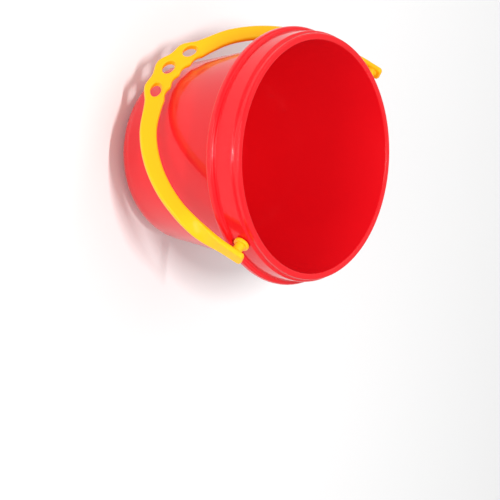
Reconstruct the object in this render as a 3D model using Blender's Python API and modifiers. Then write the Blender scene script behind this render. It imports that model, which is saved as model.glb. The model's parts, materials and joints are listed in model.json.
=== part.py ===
"""Children's sand bucket: a tapered, nesting bucket with a turned-down collar and a swinging bail handle.

The bucket is one turned moulding. Its wall runs straight up to the lip, and a collar hangs outside it as
a skirt, open underneath. The handle is one moulding too: a flat bail, widened to a scalloped grip with
three oval holes, whose arms twist to face along the pins. At each end are a neck, a boss that bears on
the collar, a pin through it and a head behind it.
The origin is the middle of the base, +Z is up, and the handle swings about X.
"""

import math

import bmesh
import bpy
from mathutils import Matrix, Vector

# Bucket, in metres and degrees
HEIGHT = 0.139
BODY_RADIUS = 0.0788  # outside of the wall, level with the collar's lower edge
WALL_TAPER = 7.8
WALL = 0.0018
BASE_ROUNDING = 0.0225
COLLAR_GAP = 0.0065  # wall to the inside of the collar, at its lower edge
COLLAR_HEIGHT = 0.0203  # lower edge to shoulder, which is also the pitch of nested buckets
COLLAR_DRAFT = 2.0
BEAD_HEIGHT = 0.0062
BEAD_DEPTH = 0.0031
BEAD_ROUNDING = 0.0022
LIP_HEIGHT = 0.0040
LIP_ROUNDING = 0.0013
SHOULDER_ROUNDING = 0.0010
EDGE_ROUNDING = 0.0006

# Handle, in metres and degrees
PIN_RADIUS = 0.0025
HEAD_OVERLAP = 0.0010  # head past the pin, all round
HEAD_THICKNESS = 0.0018
BOSS_RADIUS = 0.0054
BOSS_THICKNESS = 0.0024
NECK_RADIUS = 0.0034
NECK_LENGTH = 0.0064
STRAIGHT_LENGTH = 0.0155  # pin axis to where the half circle of the bail begins
STRAP_THICKNESS = 0.0040
STRAP_ROUNDING = 0.0012
TWIST = 90.0  # face of the strap, turned from facing along the pin to facing out of the bail's plane
TWIST_LENGTH = 0.045
ARM_WIDTH = 0.0122  # beside the grip
ARM_END_WIDTH = 0.0106
ARM_END_ROUNDING = 0.0030
ARM_OVERHANG = 0.0070  # arm past the pin axis
GRIP_WIDTH = 0.0186
GRIP_OFFSET = 0.0026  # middle hole outward of the strap's line
OFFSET_REACH = 0.045  # grip's middle to where the strap is centred on its line
GRIP_REACH = 0.060  # grip's middle to where the strap has narrowed to an arm
GRIP_FADE = 0.058  # length over which it narrows
OUTER_SCALLOP = 0.0021
INNER_SCALLOP = 0.0015
FINGER_COUNT = 4
FINGER_PITCH = 0.0138  # of the finger hollows, along the strap
HOLE_COUNT = 3
HOLE_LENGTH = 0.0128
HOLE_WIDTH = 0.0072
HOLE_PITCH = 0.0218

# Fits
NEST_CLEARANCE = 0.0005  # collar of one bucket round the lip of the next
PIN_CLEARANCE = 0.0003
FACE_CLEARANCE = 0.0003
REST_CLEARANCE = 0.0005  # grip off the wall as the bail hangs folded

TURN_STEPS = 72
PIN_STEPS = 24
STRAP_COLUMNS = 4
GRIP_ROWS = 16
ARM_ROWS = 30
CORNER_ROWS = 3
MERGE_DISTANCE = 0.00005

BEVEL_ANGLE = 50.0  # sharper edges of the strap are rounded
SHARP_ANGLE = 40.0  # sharper edges are not shaded smooth

BUCKET_RED = (0.80, 0.006, 0.012, 1.0)
HANDLE_YELLOW = (1.0, 0.56, 0.008, 1.0)
GLOSS_ROUGHNESS = 0.2

TAPER_SLOPE = math.tan(math.radians(WALL_TAPER))
WALL_SPREAD = WALL / math.cos(math.radians(WALL_TAPER))  # wall measured level
COLLAR_SLOPE = math.tan(math.radians(COLLAR_DRAFT))
SHOULDER_Z = HEIGHT - LIP_HEIGHT
COLLAR_EDGE_Z = SHOULDER_Z - COLLAR_HEIGHT
BEAD_TOP_Z = COLLAR_EDGE_Z + BEAD_HEIGHT
PIVOT_Z = (BEAD_TOP_Z + SHOULDER_Z) / 2
SKIRT_RADIUS = BODY_RADIUS + COLLAR_GAP  # inside of the collar at its lower edge
LIP_RADIUS = SKIRT_RADIUS - NEST_CLEARANCE
HEAD_RADIUS = PIN_RADIUS + HEAD_OVERLAP


def body_radius(z):
    """Outside radius of the tapered wall at a height."""
    return BODY_RADIUS + (z - COLLAR_EDGE_Z) * TAPER_SLOPE


def band_radius(z):
    """Outside radius of the collar's band at a height."""
    return SKIRT_RADIUS + WALL - (z - COLLAR_EDGE_Z) * COLLAR_SLOPE


BEAD_RADIUS = band_radius(BEAD_TOP_Z) + BEAD_DEPTH


def arc(centre, radius, start, end, segments):
    """Points of an arc in the profile's plane, angles in degrees from outward, counterclockwise."""
    points = []
    for index in range(segments + 1):
        angle = math.radians(start + (end - start) * index / segments)
        points.append((centre[0] + radius * math.cos(angle), centre[1] + radius * math.sin(angle)))
    return points


def bucket_profile():
    """Closed section of the bucket from the middle of its floor, over the lip, and back under the base."""
    base_centre_r = body_radius(BASE_ROUNDING) - BASE_ROUNDING / math.cos(math.radians(WALL_TAPER))
    base_centre = (base_centre_r, BASE_ROUNDING)
    lip_round_z = HEIGHT - LIP_ROUNDING
    inner_lip = (body_radius(HEIGHT) - WALL_SPREAD + LIP_ROUNDING, lip_round_z)
    outer_lip = (LIP_RADIUS - LIP_ROUNDING, lip_round_z)
    shoulder = (band_radius(SHOULDER_Z) - SHOULDER_ROUNDING, SHOULDER_Z - SHOULDER_ROUNDING)
    bead_round_r = BEAD_RADIUS - BEAD_ROUNDING
    edge = (SKIRT_RADIUS + EDGE_ROUNDING, COLLAR_EDGE_Z + EDGE_ROUNDING)
    ledge_z = SHOULDER_Z - WALL

    points = [(0.0, WALL)]
    points += arc(base_centre, BASE_ROUNDING - WALL, -90, -WALL_TAPER, 6)
    points += arc(inner_lip, LIP_ROUNDING, 180, 90, 3)
    points += arc(outer_lip, LIP_ROUNDING, 90, 0, 3)
    points.append((LIP_RADIUS, SHOULDER_Z))
    points += arc(shoulder, SHOULDER_ROUNDING, 90, 0, 2)
    points.append((band_radius(BEAD_TOP_Z), BEAD_TOP_Z))
    points += arc((bead_round_r, BEAD_TOP_Z - BEAD_ROUNDING), BEAD_ROUNDING, 90, 0, 3)
    points += arc((bead_round_r, COLLAR_EDGE_Z + BEAD_ROUNDING), BEAD_ROUNDING, 0, -90, 3)
    points += arc(edge, EDGE_ROUNDING, -90, -180, 1)
    points.append((band_radius(ledge_z) - WALL, ledge_z))
    points.append((body_radius(ledge_z), ledge_z))
    points += arc(base_centre, BASE_ROUNDING, -WALL_TAPER, -90, 7)
    points.append((0.0, 0.0))
    return points


def pin_stations():
    """Distances along the pin axis, from the middle of the bucket: head, collar and boss faces."""
    band_outside = band_radius(PIVOT_Z - BOSS_RADIUS)
    band_inside = band_radius(PIVOT_Z + HEAD_RADIUS) - WALL
    head_outer = math.sqrt(band_inside**2 - HEAD_RADIUS**2) - FACE_CLEARANCE
    boss_inner = band_outside + FACE_CLEARANCE
    return head_outer, boss_inner


ARM_X = pin_stations()[1] + BOSS_THICKNESS + NECK_LENGTH + STRAP_THICKNESS / 2
QUARTER_BEND = ARM_X * math.pi / 2  # grip's middle to the end of the half circle, along the strap
PIN_DISTANCE = QUARTER_BEND + STRAIGHT_LENGTH
HALF_LENGTH = PIN_DISTANCE + ARM_OVERHANG
SCALLOP_REACH = FINGER_COUNT * FINGER_PITCH / 2
WAVE_REACH = HOLE_COUNT * HOLE_PITCH / 2


def smooth_step(value):
    value = max(0.0, min(1.0, value))
    return value * value * (3 - 2 * value)


def strap_frame(distance):
    """Centre, face normal and width direction of the strap, at a distance along it from the grip's middle.

    The bail lies level here, reaching toward -Y from the pin axis, with its plane's normal along +Z.
    """
    bend = max(-math.pi / 2, min(math.pi / 2, distance / ARM_X))
    straight = max(0.0, abs(distance) - QUARTER_BEND)
    centre = Vector((ARM_X * math.sin(bend), straight - STRAIGHT_LENGTH - ARM_X * math.cos(bend), 0.0))
    outward = Vector((math.sin(bend), -math.cos(bend), 0.0))
    turned = smooth_step((PIN_DISTANCE - BOSS_RADIUS - abs(distance)) / TWIST_LENGTH)
    tilt = math.radians(TWIST) * turned
    normal = math.cos(tilt) * outward + math.sin(tilt) * Vector((0, 0, 1))
    across = math.cos(tilt) * Vector((0, 0, 1)) - math.sin(tilt) * outward
    return centre, normal, across


def grip_offset(distance):
    """Distance of the strap's middle outward of its line."""
    return GRIP_OFFSET * smooth_step(1 - abs(distance) / OFFSET_REACH)


def half_widths(distance):
    """Widths of the strap from its line to its outer and to its inner edge."""
    to_end = HALF_LENGTH - abs(distance)
    into_corner = max(0.0, ARM_END_ROUNDING - to_end)
    corner_cut = ARM_END_ROUNDING - math.sqrt(ARM_END_ROUNDING**2 - into_corner**2)
    arm_width = ARM_WIDTH + (ARM_END_WIDTH - ARM_WIDTH) * abs(distance) / HALF_LENGTH
    share = smooth_step((GRIP_REACH - abs(distance)) / GRIP_FADE)
    half_width = (arm_width + (GRIP_WIDTH - arm_width) * share) / 2 - corner_cut
    outer, inner = half_width + grip_offset(distance), half_width - grip_offset(distance)
    if abs(distance) < WAVE_REACH:
        outer -= OUTER_SCALLOP * math.sin(math.pi * distance / HOLE_PITCH) ** 2
    else:
        outer -= OUTER_SCALLOP * smooth_step((GRIP_REACH - abs(distance)) / (GRIP_REACH - WAVE_REACH))
    if abs(distance) < SCALLOP_REACH:
        inner -= INNER_SCALLOP * abs(math.sin(math.pi * distance / FINGER_PITCH))
    return outer, inner


def rest_angle():
    """Angle of the bail below level, in degrees, with the grip's inner edge just off the tapered wall."""
    taper = math.radians(WALL_TAPER)
    wall_distance = body_radius(PIVOT_Z) * math.cos(taper) + REST_CLEARANCE
    reach = ARM_X + STRAIGHT_LENGTH - half_widths(0.0)[1]
    half_thickness = STRAP_THICKNESS / 2
    swing = math.acos(wall_distance / math.hypot(reach, half_thickness))
    return math.degrees(taper + swing - math.atan(half_thickness / reach))


def strap_stations():
    """Distances of the strap's cross rows: closer together along the scallops and at the rounded ends."""
    half = [SCALLOP_REACH * row / GRIP_ROWS for row in range(GRIP_ROWS)]
    corner_start = HALF_LENGTH - ARM_END_ROUNDING
    arm_length = corner_start - SCALLOP_REACH
    half += [SCALLOP_REACH + arm_length * row / ARM_ROWS for row in range(ARM_ROWS)]
    corner_angles = [math.radians(90 * row / CORNER_ROWS) for row in range(CORNER_ROWS + 1)]
    half += [corner_start + ARM_END_ROUNDING * math.sin(angle) for angle in corner_angles]
    return [-value for value in reversed(half[1:])] + half


def clear_scene():
    for scene_object in list(bpy.data.objects):
        bpy.data.objects.remove(scene_object, do_unlink=True)


def make_collection(name):
    collection = bpy.data.collections.new(name)
    bpy.context.scene.collection.children.link(collection)
    return collection


def make_material(name, colour):
    material = bpy.data.materials.new(name)
    material.use_nodes = True
    shader = material.node_tree.nodes["Principled BSDF"]
    shader.inputs["Base Color"].default_value = colour
    shader.inputs["Roughness"].default_value = GLOSS_ROUGHNESS
    shader.inputs["Metallic"].default_value = 0.0
    return material


def make_object(name, mesh, collection):
    new_object = bpy.data.objects.new(name, mesh)
    collection.objects.link(new_object)
    return new_object


def make_cutter(name, mesh, cutters):
    cutter = make_object(name, mesh, cutters)
    cutter.hide_render = True
    cutter.display_type = "WIRE"
    return cutter


def make_turned(name, profile, steps, collection):
    """Object turned about Z from a section whose points run down its outer side."""
    mesh = bpy.data.meshes.new(name)
    vertices = [(radius, 0.0, height) for radius, height in profile]
    edges = [(index, index + 1) for index in range(len(vertices) - 1)]
    mesh.from_pydata(vertices, edges, [])
    turned = make_object(name, mesh, collection)
    screw = turned.modifiers.new("Turn", "SCREW")
    screw.steps = steps
    screw.render_steps = steps
    screw.use_smooth_shade = True
    screw.use_merge_vertices = True
    screw.merge_threshold = MERGE_DISTANCE
    return turned


def add_boolean(target, other, operation):
    boolean = target.modifiers.new(other.name, "BOOLEAN")
    boolean.operation = operation
    boolean.object = other
    boolean.solver = "EXACT"


def make_cylinder(name, radius, depth, matrix, collection):
    """Helper cylinder, its axis along the matrix's Z."""
    mesh = bpy.data.meshes.new(name)
    shape = bmesh.new()
    bmesh.ops.create_cone(
        shape, cap_ends=True, segments=PIN_STEPS, radius1=radius, radius2=radius, depth=depth, matrix=matrix
    )
    shape.to_mesh(mesh)
    shape.free()
    return make_cutter(name, mesh, collection)


def make_bucket(parts, cutters):
    bucket = make_turned("bucket", bucket_profile(), TURN_STEPS, parts)
    bucket.data.materials.append(make_material("bucket_red", BUCKET_RED))
    wall_outside = body_radius(PIVOT_Z)
    skirt_inside = band_radius(PIVOT_Z) - WALL
    cut_start = (wall_outside + skirt_inside) / 2
    cut_length = BEAD_RADIUS - cut_start
    for side, label in ((1, "right"), (-1, "left")):
        middle = Vector((side * (cut_start + cut_length / 2), 0, PIVOT_Z))
        matrix = Matrix.Translation(middle) @ Matrix.Rotation(math.radians(90), 4, "Y")
        hole_radius = PIN_RADIUS + PIN_CLEARANCE
        hole = make_cylinder(f"pin_hole_{label}", hole_radius, cut_length, matrix, cutters)
        add_boolean(bucket, hole, "DIFFERENCE")
    return bucket


def make_strap(parts):
    stations = strap_stations()
    last_row = len(stations) - 1
    mesh = bpy.data.meshes.new("handle")
    shape = bmesh.new()
    bmesh.ops.create_grid(shape, x_segments=STRAP_COLUMNS, y_segments=last_row, size=1.0)
    for vertex in shape.verts:
        row = round((vertex.co.y + 1) / 2 * last_row)
        centre, _, across = strap_frame(stations[row])
        outer, inner = half_widths(stations[row])
        share = vertex.co.x
        vertex.co = centre + across * (share * inner if share > 0 else share * outer)
    shape.to_mesh(mesh)
    shape.free()
    strap = make_object("handle", mesh, parts)
    solidify = strap.modifiers.new("Thickness", "SOLIDIFY")
    solidify.thickness = STRAP_THICKNESS
    solidify.offset = 0.0
    bevel = strap.modifiers.new("Rounding", "BEVEL")
    bevel.width = STRAP_ROUNDING
    bevel.segments = 2
    bevel.limit_method = "ANGLE"
    bevel.angle_limit = math.radians(BEVEL_ANGLE)
    return strap


def pin_profile():
    """Section of neck, boss, pin and head, as radius and distance along the pin axis, from the arm inward."""
    head_outer, boss_inner = pin_stations()
    boss_outer = boss_inner + BOSS_THICKNESS
    return [
        (0.0, ARM_X),
        (NECK_RADIUS, ARM_X),
        (NECK_RADIUS, boss_outer),
        (BOSS_RADIUS, boss_outer),
        (BOSS_RADIUS, boss_inner),
        (PIN_RADIUS, boss_inner),
        (PIN_RADIUS, head_outer),
        (HEAD_RADIUS, head_outer),
        (PIN_RADIUS, head_outer - HEAD_THICKNESS),
        (0.0, head_outer - HEAD_THICKNESS),
    ]


def hole_matrix(distance):
    """Place of an oval hole: X along the strap and stretched, Y across it, Z through it."""
    centre, normal, across = strap_frame(distance)
    centre -= across * grip_offset(distance)
    turn = Matrix((across.cross(normal), across, normal)).transposed().to_4x4()
    return Matrix.Translation(centre) @ turn @ Matrix.Scale(HOLE_LENGTH / HOLE_WIDTH, 4, (1, 0, 0))


def make_handle(parts, cutters):
    handle = make_strap(parts)
    handle.data.materials.append(make_material("handle_yellow", HANDLE_YELLOW))
    swing = Matrix.Translation((0, 0, PIVOT_Z)) @ Matrix.Rotation(math.radians(rest_angle()), 4, "X")
    handle.matrix_world = swing
    for side, label in ((1, "right"), (-1, "left")):
        pin = make_turned(f"pin_{label}", pin_profile(), PIN_STEPS, cutters)
        pin.hide_render = True
        pin.display_type = "WIRE"
        pin.matrix_world = swing @ Matrix.Rotation(math.radians(90 * side), 4, "Y")
        add_boolean(handle, pin, "UNION")
    for index in range(HOLE_COUNT):
        matrix = swing @ hole_matrix((index - (HOLE_COUNT - 1) / 2) * HOLE_PITCH)
        hole = make_cylinder(f"grip_hole_{index + 1}", HOLE_WIDTH / 2, STRAP_THICKNESS * 2, matrix, cutters)
        add_boolean(handle, hole, "DIFFERENCE")
    return handle


def main():
    clear_scene()
    parts = make_collection("sand_bucket")
    cutters = make_collection("cutters")
    make_bucket(parts, cutters)
    handle = make_handle(parts, cutters)
    handle.data.shade_smooth()
    handle.data.set_sharp_from_angle(angle=math.radians(SHARP_ANGLE))


main()
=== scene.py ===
"""Looks of the sand bucket: a glossy red bucket and a glossy yellow bail handle, on a pale floor."""

import json
import math

import bmesh
import bpy
from mathutils import Matrix, Vector


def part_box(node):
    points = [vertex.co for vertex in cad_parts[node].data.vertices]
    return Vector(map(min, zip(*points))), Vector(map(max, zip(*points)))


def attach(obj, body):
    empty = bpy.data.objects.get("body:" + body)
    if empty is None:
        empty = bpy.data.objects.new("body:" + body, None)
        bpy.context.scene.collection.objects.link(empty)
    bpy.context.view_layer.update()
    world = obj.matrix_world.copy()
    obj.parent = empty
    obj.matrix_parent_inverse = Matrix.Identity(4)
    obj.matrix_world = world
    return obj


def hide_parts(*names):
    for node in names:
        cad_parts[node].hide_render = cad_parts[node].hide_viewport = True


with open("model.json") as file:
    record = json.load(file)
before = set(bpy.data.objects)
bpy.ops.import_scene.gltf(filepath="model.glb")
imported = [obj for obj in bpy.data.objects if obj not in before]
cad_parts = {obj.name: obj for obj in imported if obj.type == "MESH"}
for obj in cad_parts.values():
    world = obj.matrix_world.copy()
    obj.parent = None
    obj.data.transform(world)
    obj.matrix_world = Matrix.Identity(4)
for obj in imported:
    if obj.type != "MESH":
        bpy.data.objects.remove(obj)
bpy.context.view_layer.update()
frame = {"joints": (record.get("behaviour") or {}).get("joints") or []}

HINGE = frame["joints"][0]
PIVOT_Z = HINGE["pos_m"][2]
BUCKET_LOW, BUCKET_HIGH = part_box("bucket")
HEIGHT = BUCKET_HIGH.z - BUCKET_LOW.z
BEAD_RADIUS = BUCKET_HIGH.x

# Bucket, in metres and degrees
WALL = 0.0018
WALL_TAPER = 7.8
BODY_RADIUS = 0.0788  # outside of the wall, level with the collar's lower edge
COLLAR_GAP = 0.0065
COLLAR_HEIGHT = 0.0203
COLLAR_DRAFT = 2.0
NEST_CLEARANCE = 0.0005
BEAD_HEIGHT = 0.0062
BEAD_ROUNDING = 0.0024
BASE_ROUNDING = 0.0225
LIP_HEIGHT = 0.0040
LIP_ROUNDING = 0.0014
SHOULDER_ROUNDING = 0.0013
EDGE_ROUNDING = 0.0006
INSIDE_CORNER = 0.0009  # fillet where two faces of the moulding meet inward
FLOOR_RING_RADIUS = 0.016
FLOOR_RING_DEPTH = 0.00035
GATE_RADIUS = 0.0028
GATE_DEPTH = 0.0005

# Handle, in metres and degrees
PIN_RADIUS = 0.0025
PIN_CLEARANCE = 0.0003
FACE_CLEARANCE = 0.0003
HEAD_RADIUS = 0.0035
HEAD_THICKNESS = 0.0018
BOSS_RADIUS = 0.0054
BOSS_THICKNESS = 0.0024
BOSS_ROUNDING = 0.0009
NECK_RADIUS = 0.0034
NECK_LENGTH = 0.0064
NECK_FLARE = 0.0008  # fillet where the neck leaves the arm
STRAIGHT_LENGTH = 0.0155
STRAP_THICKNESS = 0.0040
STRAP_ROUNDING = 0.0015
FULLEST_ROUNDING = 0.98  # most of the strap's half thickness that its edge rounding takes
TWIST = 90.0
TWIST_LENGTH = 0.045
ARM_WIDTH = 0.0122  # beside the grip
ARM_END_WIDTH = 0.0106
ARM_END_ROUNDING = 0.0030
ARM_OVERHANG = 0.0070
GRIP_WIDTH = 0.0186
GRIP_OFFSET = 0.0026
OFFSET_REACH = 0.045
GRIP_REACH = 0.060
GRIP_FADE = 0.058
OUTER_SCALLOP = 0.0021
INNER_SCALLOP = 0.0015
SCALLOP_SOFTNESS = 0.12  # share of a finger hollow over which its pointed bumps are rounded
FINGER_COUNT = 4
FINGER_PITCH = 0.0138
HOLE_LENGTH = 0.0128
HOLE_WIDTH = 0.0072
HOLE_PITCH = 0.0218
HOLE_PLACES = (-1, 0, 1)
REST_CLEARANCE = 0.0005
RIM_WIDTH = 0.0011  # raised ring round each hole
RIM_HEIGHT = 0.0003
RIM_ROUNDING = 0.0006

# Fineness of the meshes
TURN_STEPS = 288
PIN_STEPS = 64
FILLET_DEGREES = 7.5  # turned by each segment of a fillet
STATION_SPACING = 0.0009
CORNER_STATIONS = 8
CORNER_SEGMENTS = 5
FACE_COLUMNS = 6
OVAL_STEPS = 72
SHARP_ANGLE = 42.0
MERGE_DISTANCE = 0.00001
AREA_WEIGHT = 100  # large faces set the shading normals beside them

# Plastics: linear colours, and noise scales in cycles per metre
RED = (0.80, 0.006, 0.012)
RED_DEEPER = (0.74, 0.004, 0.010)
RED_COAT = 0.7
YELLOW = (1.0, 0.52, 0.008)
YELLOW_DEEPER = (1.0, 0.49, 0.006)
YELLOW_COAT = 0.3
PLASTIC_IOR = 1.24
PLASTIC_ROUGHNESS = 0.28
COAT_IOR = 1.34
COAT_ROUGHNESS = 0.02
MIDDLE_NOISE = (0.3, 0.7)
TINT_NOISE = (9.0, 2.0)  # scale and detail
CLOUD_NOISE = (22.0, 3.0)
CLOUD_ROUGHNESS = 0.05
SCUFF_NOISE = (420.0, 3.0)
SCUFF_RANGE = (0.62, 0.75)  # only the noise's peaks show as scuffs
SCUFF_ROUGHNESS = 0.03
RIPPLE_NOISE = (35.0, 1.0)
RIPPLE_STRENGTH = 0.04
RIPPLE_HEIGHT = 0.0002

# Studio: azimuth and elevation in degrees, distance and size in metres, power in watts
WHITE = (1.0, 1.0, 1.0, 1.0)
WORLD_STRENGTH = 0.55
FLOOR_REACH = 4.0
FLOOR_COLOUR = (0.92, 0.92, 0.92, 1.0)
FLOOR_ROUGHNESS = 0.9
FLOOR_SPECULAR = 0.1
LIGHTS = {
    "key": {"azimuth": -47, "elevation": 62, "distance": 1.2, "size": (0.24, 0.015), "power": 8.5},
    "front": {"azimuth": -47, "elevation": 10, "distance": 1.3, "size": (1.0, 0.4), "power": 4.5},
    "fill": {"azimuth": -160, "elevation": 50, "distance": 1.6, "size": (1.2, 1.2), "power": 4},
    "back": {"azimuth": 60, "elevation": 45, "distance": 1.6, "size": (1.2, 1.2), "power": 3},
}

# Camera: the bucket stands upright, and the picture is rolled so that it lies on its side
CAMERA_AZIMUTH = -47.4
CAMERA_ELEVATION = 40.49
CAMERA_ROLL = 95.8
CAMERA_DISTANCE = 0.9680
CAMERA_TARGET = (0.0304, 0.0676, 0.060)
LENS = 93.6
SENSOR = 36.0


def smooth_step(value):
    value = max(0.0, min(1.0, value))
    return value * value * (3 - 2 * value)


# Sections

TAPER_SLOPE = math.tan(math.radians(WALL_TAPER))
WALL_SPREAD = WALL / math.cos(math.radians(WALL_TAPER))
COLLAR_SLOPE = math.tan(math.radians(COLLAR_DRAFT))
SHOULDER_Z = HEIGHT - LIP_HEIGHT
COLLAR_EDGE_Z = SHOULDER_Z - COLLAR_HEIGHT
BEAD_TOP_Z = COLLAR_EDGE_Z + BEAD_HEIGHT
SKIRT_RADIUS = BODY_RADIUS + COLLAR_GAP
LIP_RADIUS = SKIRT_RADIUS - NEST_CLEARANCE


def body_radius(z):
    """Outside radius of the tapered wall at a height."""
    return BODY_RADIUS + (z - COLLAR_EDGE_Z) * TAPER_SLOPE


def band_radius(z):
    """Outside radius of the collar's band at a height."""
    return SKIRT_RADIUS + WALL - (z - COLLAR_EDGE_Z) * COLLAR_SLOPE


def filleted(corners):
    """Points of a section given as corners (radius, height, fillet), each fillet turned into a fine arc."""
    points = []
    for index, (x, y, fillet) in enumerate(corners):
        here = Vector((x, y))
        if not fillet or index in (0, len(corners) - 1):
            points.append(here)
            continue
        before = (Vector(corners[index - 1][:2]) - here).normalized()
        after = (Vector(corners[index + 1][:2]) - here).normalized()
        half_angle = before.angle(after) / 2
        turn = math.pi - 2 * half_angle
        centre = here + (before + after).normalized() * fillet / math.sin(half_angle)
        start = here + before * fillet / math.tan(half_angle) - centre
        end = here + after * fillet / math.tan(half_angle) - centre
        segments = max(2, math.ceil(math.degrees(turn) / FILLET_DEGREES))
        for step in range(segments + 1):
            share = step / segments
            weight_start = math.sin((1 - share) * turn) / math.sin(turn)
            weight_end = math.sin(share * turn) / math.sin(turn)
            points.append(centre + start * weight_start + end * weight_end)
    return [tuple(point) for point in points]


def bucket_section():
    """Closed section of the bucket, from the middle of its floor over the lip and back under the base."""
    ledge_z = SHOULDER_Z - WALL
    inner_foot = body_radius(WALL) - WALL_SPREAD
    ring_in = FLOOR_RING_RADIUS - 2 * FLOOR_RING_DEPTH
    ring_out = FLOOR_RING_RADIUS + 2 * FLOOR_RING_DEPTH
    return filleted([
        (0.0, WALL, 0),
        (ring_in, WALL, FLOOR_RING_DEPTH),
        (FLOOR_RING_RADIUS, WALL + FLOOR_RING_DEPTH, FLOOR_RING_DEPTH),
        (ring_out, WALL, FLOOR_RING_DEPTH),
        (inner_foot, WALL, BASE_ROUNDING - WALL),
        (body_radius(HEIGHT) - WALL_SPREAD, HEIGHT, LIP_ROUNDING),
        (LIP_RADIUS, HEIGHT, LIP_ROUNDING),
        (LIP_RADIUS, SHOULDER_Z, INSIDE_CORNER),
        (band_radius(SHOULDER_Z), SHOULDER_Z, SHOULDER_ROUNDING),
        (band_radius(BEAD_TOP_Z), BEAD_TOP_Z, INSIDE_CORNER),
        (BEAD_RADIUS, BEAD_TOP_Z, BEAD_ROUNDING),
        (BEAD_RADIUS, COLLAR_EDGE_Z, BEAD_ROUNDING),
        (SKIRT_RADIUS, COLLAR_EDGE_Z, EDGE_ROUNDING),
        (band_radius(ledge_z) - WALL, ledge_z, INSIDE_CORNER),
        (body_radius(ledge_z), ledge_z, INSIDE_CORNER),
        (body_radius(0.0), 0.0, BASE_ROUNDING),
        (GATE_RADIUS, 0.0, 0),
        (GATE_RADIUS - GATE_DEPTH, GATE_DEPTH, 0),
        (0.0, GATE_DEPTH, 0),
    ])


def pin_stations():
    """Distances along the pin axis of the head's outer face and the boss's inner face."""
    band_outside = band_radius(PIVOT_Z - BOSS_RADIUS)
    band_inside = band_radius(PIVOT_Z + HEAD_RADIUS) - WALL
    head_outer = math.sqrt(band_inside**2 - HEAD_RADIUS**2) - FACE_CLEARANCE
    return head_outer, band_outside + FACE_CLEARANCE


HEAD_OUTER, BOSS_INNER = pin_stations()
BOSS_OUTER = BOSS_INNER + BOSS_THICKNESS
ARM_X = BOSS_OUTER + NECK_LENGTH + STRAP_THICKNESS / 2
QUARTER_BEND = ARM_X * math.pi / 2
PIN_DISTANCE = QUARTER_BEND + STRAIGHT_LENGTH
HALF_LENGTH = PIN_DISTANCE + ARM_OVERHANG
SCALLOP_REACH = FINGER_COUNT * FINGER_PITCH / 2
WAVE_REACH = len(HOLE_PLACES) * HOLE_PITCH / 2


def pin_section():
    """Section of neck, boss, pin and head, as radius and distance along the pin axis, from the arm inward."""
    arm_face = ARM_X - STRAP_THICKNESS / 2
    return filleted([
        (0.0, ARM_X, 0),
        (NECK_RADIUS + NECK_FLARE, ARM_X, 0),
        (NECK_RADIUS + NECK_FLARE, arm_face, 0),
        (NECK_RADIUS, arm_face - NECK_FLARE, NECK_FLARE),
        (NECK_RADIUS, BOSS_OUTER, NECK_FLARE / 2),
        (BOSS_RADIUS, BOSS_OUTER, BOSS_ROUNDING),
        (BOSS_RADIUS, BOSS_INNER, EDGE_ROUNDING),
        (PIN_RADIUS, BOSS_INNER, 0),
        (PIN_RADIUS, HEAD_OUTER, 0),
        (HEAD_RADIUS, HEAD_OUTER, 0),
        (PIN_RADIUS, HEAD_OUTER - HEAD_THICKNESS, EDGE_ROUNDING),
        (0.0, HEAD_OUTER - HEAD_THICKNESS, 0),
    ])


# The bail, level and reaching toward -Y from the pin axis, with its plane's normal along +Z


def strap_frame(distance):
    """Centre, face normal and width direction of the strap, at a distance along it from the grip's middle."""
    bend = max(-math.pi / 2, min(math.pi / 2, distance / ARM_X))
    straight = max(0.0, abs(distance) - QUARTER_BEND)
    centre = Vector((ARM_X * math.sin(bend), straight - STRAIGHT_LENGTH - ARM_X * math.cos(bend), 0.0))
    outward = Vector((math.sin(bend), -math.cos(bend), 0.0))
    turned = smooth_step((PIN_DISTANCE - BOSS_RADIUS - abs(distance)) / TWIST_LENGTH)
    tilt = math.radians(TWIST) * turned
    normal = math.cos(tilt) * outward + math.sin(tilt) * Vector((0, 0, 1))
    across = math.cos(tilt) * Vector((0, 0, 1)) - math.sin(tilt) * outward
    return centre, normal, across


def corner_cut(distance, rounding):
    """How far a rounded end has drawn in, at a distance along the strap."""
    into_corner = max(0.0, rounding - (HALF_LENGTH - abs(distance)))
    return rounding - math.sqrt(max(0.0, rounding**2 - into_corner**2))


def grip_offset(distance):
    """Distance of the strap's middle outward of its line."""
    return GRIP_OFFSET * smooth_step(1 - abs(distance) / OFFSET_REACH)


def half_widths(distance):
    """Widths of the strap from its line to its outer and to its inner edge."""
    arm_width = ARM_WIDTH + (ARM_END_WIDTH - ARM_WIDTH) * abs(distance) / HALF_LENGTH
    share = smooth_step((GRIP_REACH - abs(distance)) / GRIP_FADE)
    half_width = (arm_width + (GRIP_WIDTH - arm_width) * share) / 2 - corner_cut(distance, ARM_END_ROUNDING)
    outer, inner = half_width + grip_offset(distance), half_width - grip_offset(distance)
    if abs(distance) < WAVE_REACH:
        outer -= OUTER_SCALLOP * math.sin(math.pi * distance / HOLE_PITCH) ** 2
    else:
        outer -= OUTER_SCALLOP * smooth_step((GRIP_REACH - abs(distance)) / (GRIP_REACH - WAVE_REACH))
    if abs(distance) < SCALLOP_REACH:
        wave = abs(math.sin(math.pi * distance / FINGER_PITCH))
        inner -= INNER_SCALLOP * (math.sqrt(wave**2 + SCALLOP_SOFTNESS**2) - SCALLOP_SOFTNESS)
    return outer, inner


def rest_angle():
    """Angle of the bail below level, with the grip's inner edge just off the tapered wall."""
    taper = math.radians(WALL_TAPER)
    wall_distance = body_radius(PIVOT_Z) * math.cos(taper) + REST_CLEARANCE
    reach = ARM_X + STRAIGHT_LENGTH - half_widths(0.0)[1]
    swing = math.acos(wall_distance / math.hypot(reach, STRAP_THICKNESS / 2))
    return taper + swing - math.atan(STRAP_THICKNESS / 2 / reach)


SWING = Matrix.Translation((0, 0, PIVOT_Z)) @ Matrix.Rotation(rest_angle(), 4, "X")


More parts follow.
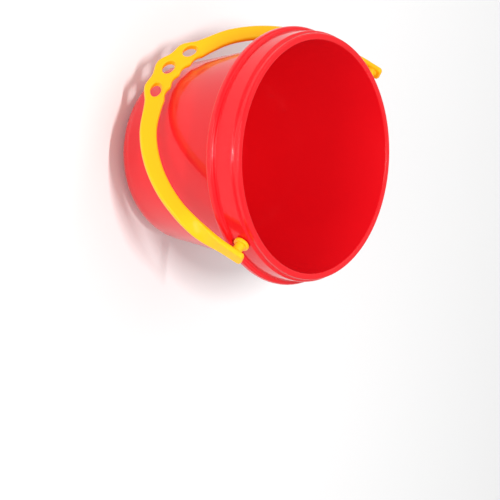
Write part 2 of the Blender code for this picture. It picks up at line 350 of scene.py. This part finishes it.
def strap_stations():
    """Distances of the strap's cross rows, closer together at its rounded ends."""
    corner_start = HALF_LENGTH - ARM_END_ROUNDING
    rows = round(corner_start / STATION_SPACING)
    half = [corner_start * row / rows for row in range(rows)]
    for row in range(CORNER_STATIONS + 1):
        half.append(corner_start + ARM_END_ROUNDING * math.sin(math.pi / 2 * row / CORNER_STATIONS))
    return [-value for value in reversed(half[1:])] + half


def strap_ring(distance):
    """Points round the strap's rounded section."""
    centre, normal, across = strap_frame(distance)
    outer, inner = half_widths(distance)
    half_thickness = STRAP_THICKNESS / 2 - corner_cut(distance, STRAP_ROUNDING)
    rounding = min(STRAP_ROUNDING, half_thickness * FULLEST_ROUNDING)
    ring = []
    corners = ((inner, 1, 0), (-outer, 1, 90), (-outer, -1, 180), (inner, -1, 270))
    for edge, side, start in corners:
        corner_x = edge - math.copysign(rounding, edge)
        corner_y = side * (half_thickness - rounding)
        for step in range(CORNER_SEGMENTS + 1):
            angle = math.radians(start + 90 * step / CORNER_SEGMENTS)
            ring.append((corner_x + rounding * math.cos(angle), corner_y + rounding * math.sin(angle)))
        if start in (0, 180):
            first, level = ring[-1]
            last = -outer + rounding if start == 0 else inner - rounding
            for step in range(1, FACE_COLUMNS):
                ring.append((first + (last - first) * step / FACE_COLUMNS, level))
    return [centre + across * x + normal * y for x, y in ring]


def hole_matrix(distance):
    """Place of a hole: X along the strap, Y across it, Z through it."""
    centre, normal, across = strap_frame(distance)
    centre -= across * grip_offset(distance)
    turn = Matrix((across.cross(normal), across, normal)).transposed().to_4x4()
    return Matrix.Translation(centre) @ turn


# Meshes


def link(name, mesh):
    made = bpy.data.objects.new(name, mesh)
    bpy.context.scene.collection.objects.link(made)
    return made


def mesh_of(name, rings, closed_round, closed_along, matrix=None):
    """Mesh through rings of points; the ends are capped unless the rings close on themselves."""
    shape = bmesh.new()
    rows = [[shape.verts.new(point) for point in ring] for ring in rings]
    count = len(rows[0])
    last_row = len(rows) if closed_along else len(rows) - 1
    last_column = count if closed_round else count - 1
    for row in range(last_row):
        here, there = rows[row], rows[(row + 1) % len(rows)]
        for column in range(last_column):
            beside = (column + 1) % count
            shape.faces.new((here[column], here[beside], there[beside], there[column]))
    if not closed_along and closed_round:
        shape.faces.new(reversed(rows[0]))
        shape.faces.new(rows[-1])
    bmesh.ops.remove_doubles(shape, verts=shape.verts, dist=MERGE_DISTANCE)
    bmesh.ops.recalc_face_normals(shape, faces=shape.faces)
    mesh = bpy.data.meshes.new(name)
    shape.to_mesh(mesh)
    shape.free()
    if matrix:
        mesh.transform(matrix)
    return mesh


def turned_mesh(name, section, steps, matrix=None):
    """Solid turned about Z from a section that starts and ends on the axis."""
    rings = []
    for step in range(steps):
        angle = 2 * math.pi * step / steps
        rings.append([(r * math.cos(angle), r * math.sin(angle), z) for r, z in section])
    return mesh_of(name, rings, False, True, matrix)


def oval(grow, height):
    """Points of a hole's outline, grown outward, at a height above the strap's middle."""
    points = []
    for step in range(OVAL_STEPS):
        angle = 2 * math.pi * step / OVAL_STEPS
        x, y = HOLE_LENGTH / 2 * math.cos(angle), HOLE_WIDTH / 2 * math.sin(angle)
        outward = Vector((math.cos(angle) / HOLE_LENGTH, math.sin(angle) / HOLE_WIDTH, 0)).normalized()
        points.append(Vector((x, y, height)) + outward * grow)
    return points


def apply_booleans(target, others, operation):
    for other in others:
        boolean = target.modifiers.new(other.name, "BOOLEAN")
        boolean.operation = operation
        boolean.object = other
        boolean.solver = "EXACT"
    graph = bpy.context.evaluated_depsgraph_get()
    mesh = bpy.data.meshes.new_from_object(target.evaluated_get(graph))
    target.modifiers.clear()
    target.data = mesh
    for other in others:
        bpy.data.objects.remove(other)


def finish_shading(target):
    target.data.shade_smooth()
    target.data.set_sharp_from_angle(angle=math.radians(SHARP_ANGLE))
    weighted = target.modifiers.new("Flat faces", "WEIGHTED_NORMAL")
    weighted.keep_sharp = True
    weighted.weight = AREA_WEIGHT


def make_bucket():
    bucket = link("bucket_shell", turned_mesh("bucket_shell", bucket_section(), TURN_STEPS))
    cut_start = (body_radius(PIVOT_Z) + band_radius(PIVOT_Z) - WALL) / 2
    radius = PIN_RADIUS + PIN_CLEARANCE
    section = [(0, cut_start), (radius, cut_start), (radius, BEAD_RADIUS), (0, BEAD_RADIUS)]
    cutters = []
    for side in (1, -1):
        turn = Matrix.Translation((0, 0, PIVOT_Z)) @ Matrix.Rotation(side * math.pi / 2, 4, "Y")
        cutters.append(link(f"pin_hole_{side + 1}", turned_mesh("pin_hole", section, PIN_STEPS, turn)))
    apply_booleans(bucket, cutters, "DIFFERENCE")
    finish_shading(bucket)
    return bucket


def make_handle():
    rings = [strap_ring(distance) for distance in strap_stations()]
    handle = link("bail_handle", mesh_of("bail_handle", rings, True, False, SWING))
    pins = []
    for side in (1, -1):
        turn = SWING @ Matrix.Rotation(side * math.pi / 2, 4, "Y")
        pins.append(link(f"pin_{side + 1}", turned_mesh("pin", pin_section(), PIN_STEPS, turn)))
    apply_booleans(handle, pins, "UNION")
    cutters = []
    for place in HOLE_PLACES:
        rings = [oval(RIM_WIDTH / 2, side * STRAP_THICKNESS) for side in (-1, 1)]
        cutter = mesh_of("grip_hole", rings, True, False, SWING @ hole_matrix(place * HOLE_PITCH))
        cutters.append(link(f"grip_hole_{place + 1}", cutter))
    apply_booleans(handle, cutters, "DIFFERENCE")
    finish_shading(handle)
    return handle


def make_rim(place):
    """Raised ring that lines one of the grip's holes."""
    half_height = STRAP_THICKNESS / 2 + RIM_HEIGHT
    section = []
    for side_x, side_z, start in ((1, 1, 0), (0, 1, 90), (0, -1, 180), (1, -1, 270)):
        centre_x = RIM_WIDTH - RIM_ROUNDING if side_x else RIM_ROUNDING
        centre_z = side_z * (half_height - RIM_ROUNDING)
        for step in range(CORNER_SEGMENTS + 1):
            angle = math.radians(start + 90 * step / CORNER_SEGMENTS)
            grow = centre_x + RIM_ROUNDING * math.cos(angle)
            section.append((grow, centre_z + RIM_ROUNDING * math.sin(angle)))
    rings = [oval(grow, height) for grow, height in section]
    mesh = mesh_of("grip_rim", rings, True, True, SWING @ hole_matrix(place * HOLE_PITCH))
    rim = link(f"grip_rim_{place + 2}", mesh)
    finish_shading(rim)
    return rim


# Materials


def plastic(name, colour, deeper, coat):
    """Glossy moulded plastic: slightly cloudy colour, uneven gloss, faint scuffs and a fine ripple."""
    material = bpy.data.materials.new(name)
    material.use_nodes = True
    nodes, links = material.node_tree.nodes, material.node_tree.links
    shader = nodes["Principled BSDF"]
    shader.inputs["IOR"].default_value = PLASTIC_IOR
    shader.inputs["Coat Weight"].default_value = coat
    shader.inputs["Coat IOR"].default_value = COAT_IOR
    shader.inputs["Coat Roughness"].default_value = COAT_ROUGHNESS
    place = nodes.new("ShaderNodeTexCoord")

    def noise(scale, detail):
        texture = nodes.new("ShaderNodeTexNoise")
        texture.inputs["Scale"].default_value = scale
        texture.inputs["Detail"].default_value = detail
        links.new(place.outputs["Object"], texture.inputs["Vector"])
        return texture.outputs["Fac"]

    def spread(value, low, high, source=MIDDLE_NOISE):
        scaled = nodes.new("ShaderNodeMapRange")
        scaled.inputs["From Min"].default_value = source[0]
        scaled.inputs["From Max"].default_value = source[1]
        scaled.inputs["To Min"].default_value = low
        scaled.inputs["To Max"].default_value = high
        links.new(value, scaled.inputs["Value"])
        return scaled.outputs["Result"]

    mix = nodes.new("ShaderNodeMix")
    mix.data_type = "RGBA"
    mix.inputs["A"].default_value = (*colour, 1.0)
    mix.inputs["B"].default_value = (*deeper, 1.0)
    links.new(spread(noise(*TINT_NOISE), 0.0, 1.0), mix.inputs["Factor"])
    links.new(mix.outputs["Result"], shader.inputs["Base Color"])

    scuffs = spread(noise(*SCUFF_NOISE), 0.0, SCUFF_ROUGHNESS, SCUFF_RANGE)
    cloud = spread(noise(*CLOUD_NOISE), PLASTIC_ROUGHNESS, PLASTIC_ROUGHNESS + CLOUD_ROUGHNESS)
    total = nodes.new("ShaderNodeMath")
    total.operation = "ADD"
    links.new(scuffs, total.inputs[0])
    links.new(cloud, total.inputs[1])
    links.new(total.outputs[0], shader.inputs["Roughness"])

    bump = nodes.new("ShaderNodeBump")
    bump.inputs["Strength"].default_value = RIPPLE_STRENGTH
    bump.inputs["Distance"].default_value = RIPPLE_HEIGHT
    links.new(noise(*RIPPLE_NOISE), bump.inputs["Height"])
    links.new(bump.outputs["Normal"], shader.inputs["Normal"])
    return material


def floor_material():
    material = bpy.data.materials.new("studio_floor")
    material.use_nodes = True
    shader = material.node_tree.nodes["Principled BSDF"]
    shader.inputs["Base Color"].default_value = FLOOR_COLOUR
    shader.inputs["Roughness"].default_value = FLOOR_ROUGHNESS
    shader.inputs["Specular IOR Level"].default_value = FLOOR_SPECULAR
    return material


# Studio


def make_floor():
    ends = (-FLOOR_REACH, FLOOR_REACH)
    rings = [[(x, y, 0) for x in ends] for y in ends]
    floor = link("studio_floor", mesh_of("studio_floor", rings, False, False))
    floor.data.materials.append(floor_material())


def aimed(location, target, roll=0.0):
    """Placement at a location, looking along local -Z at a target, with +Y up before the roll."""
    away = (Vector(location) - Vector(target)).to_track_quat("Z", "Y").to_matrix().to_4x4()
    return Matrix.Translation(location) @ away @ Matrix.Rotation(roll, 4, "Z")


def around(target, azimuth, elevation, distance):
    azimuth, elevation = math.radians(azimuth), math.radians(elevation)
    level = distance * math.cos(elevation)
    height = distance * math.sin(elevation)
    return Vector(target) + Vector((level * math.cos(azimuth), level * math.sin(azimuth), height))


def make_area_light(name, azimuth, elevation, distance, size, power):
    light = bpy.data.lights.new(name, "AREA")
    light.shape = "RECTANGLE"
    light.size, light.size_y = size
    light.energy = power
    target = (0, 0, HEIGHT / 2)
    made = link(name, light)
    made.matrix_world = aimed(around(target, azimuth, elevation, distance), target)


def make_camera():
    data = bpy.data.cameras.new("camera")
    data.sensor_width = SENSOR
    data.lens = LENS
    camera = link("camera", data)
    location = around(CAMERA_TARGET, CAMERA_AZIMUTH, CAMERA_ELEVATION, CAMERA_DISTANCE)
    camera.matrix_world = aimed(location, CAMERA_TARGET, math.radians(CAMERA_ROLL))
    bpy.context.scene.camera = camera


def make_world():
    world = bpy.data.worlds.new("studio")
    bpy.context.scene.world = world
    world.use_nodes = True
    background = world.node_tree.nodes["Background"]
    background.inputs["Color"].default_value = WHITE
    background.inputs["Strength"].default_value = WORLD_STRENGTH


def dress(piece, body, material):
    """Gives a piece its material and the body it moves with."""
    piece.data.materials.clear()
    piece.data.materials.append(material)
    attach(piece, body)


def main():
    red = plastic("red_plastic", RED, RED_DEEPER, RED_COAT)
    yellow = plastic("yellow_plastic", YELLOW, YELLOW_DEEPER, YELLOW_COAT)
    bucket = make_bucket()
    handle = make_handle()
    rims = [make_rim(place) for place in HOLE_PLACES]
    dress(bucket, "bucket", red)
    for piece in (handle, *rims):
        dress(piece, "handle", yellow)
    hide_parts("bucket")
    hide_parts("handle")
    make_floor()
    make_world()
    for name, settings in LIGHTS.items():
        make_area_light(name, **settings)
    make_camera()
    bpy.context.scene.view_settings.view_transform = "Standard"


main()
